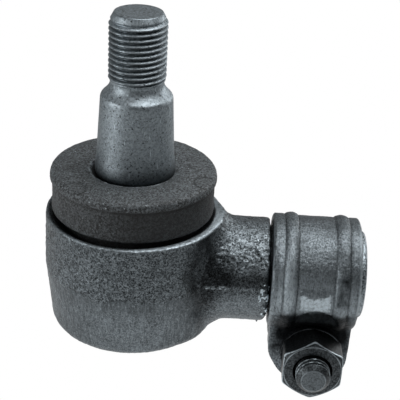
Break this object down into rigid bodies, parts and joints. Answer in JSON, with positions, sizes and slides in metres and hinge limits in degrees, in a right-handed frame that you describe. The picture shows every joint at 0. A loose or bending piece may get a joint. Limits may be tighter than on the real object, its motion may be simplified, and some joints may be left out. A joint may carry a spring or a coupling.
{
  "type": "tie rod end",
  "caption": "Tie rod end: forged housing with a tapered, threaded ball stud under a rubber dust boot, and a slit threaded neck with a bolted clamp collar.",
  "frame": {"origin": "centre of the ball, where the stud's axis crosses the threaded neck's axis", "axes": "+Z along the ball stud towards its thread, +X along the neck towards the tie rod tube; the clamp's ears hang along -Z and its nut looks along -Y"},
  "size_m": [0.093, 0.0512, 0.1107],
  "materials": {
    "housing_forging": "rough shot-blasted forging, slightly blue-grey",
    "stud_steel": "turned and ground steel, satin, fine pits",
    "bearing_steel": "hardened, greased",
    "spring_steel": "dark oiled spring steel",
    "plate_steel": "pressed sheet steel",
    "boot_rubber": "dark matte moulded rubber",
    "seal_rubber": "black rubber",
    "clamp_forging": "satin grey forging",
    "fastener_black": "black oxide with bright rubbed edges"
  },
  "bodies": {
    "housing": {"housing": "housing_forging", "upper_ball_cup": "bearing_steel", "lower_ball_cup": "bearing_steel", "preload_spring": "spring_steel", "closing_plate": "plate_steel", "closing_plate_seal": "seal_rubber", "boot_base_ring": "spring_steel"},
    "boot": {"dust_boot": "boot_rubber"},
    "boot_lip": {"boot_lip_ring": "spring_steel"},
    "stud": {"ball_stud": "stud_steel"},
    "clamp": {"clamp_collar": "clamp_forging", "clamp_bolt": "fastener_black", "clamp_nut": "fastener_black", "clamp_spring_washer": "fastener_black"}
  },
  "joints": [
    {"name": "swing_direction", "type": "hinge", "parent": "housing", "child": "boot", "pos_m": [0, 0, 0], "axis": [0, 0, 1], "continuous": true, "deforming": ["dust_boot"]},
    {"name": "stud_tilt", "type": "hinge", "parent": "boot", "child": "boot_lip", "pos_m": [0, 0, 0], "axis": [1, 0, 0], "range_deg": [-24, 24], "deforming": ["dust_boot"]},
    {"name": "stud_turn", "type": "hinge", "parent": "boot_lip", "child": "stud", "pos_m": [0, 0, 0], "axis": [0, 0, 1], "continuous": true},
    {"name": "clamp_turn", "type": "hinge", "parent": "housing", "child": "clamp", "pos_m": [0.053, 0, 0], "axis": [1, 0, 0], "continuous": true}
  ]
}
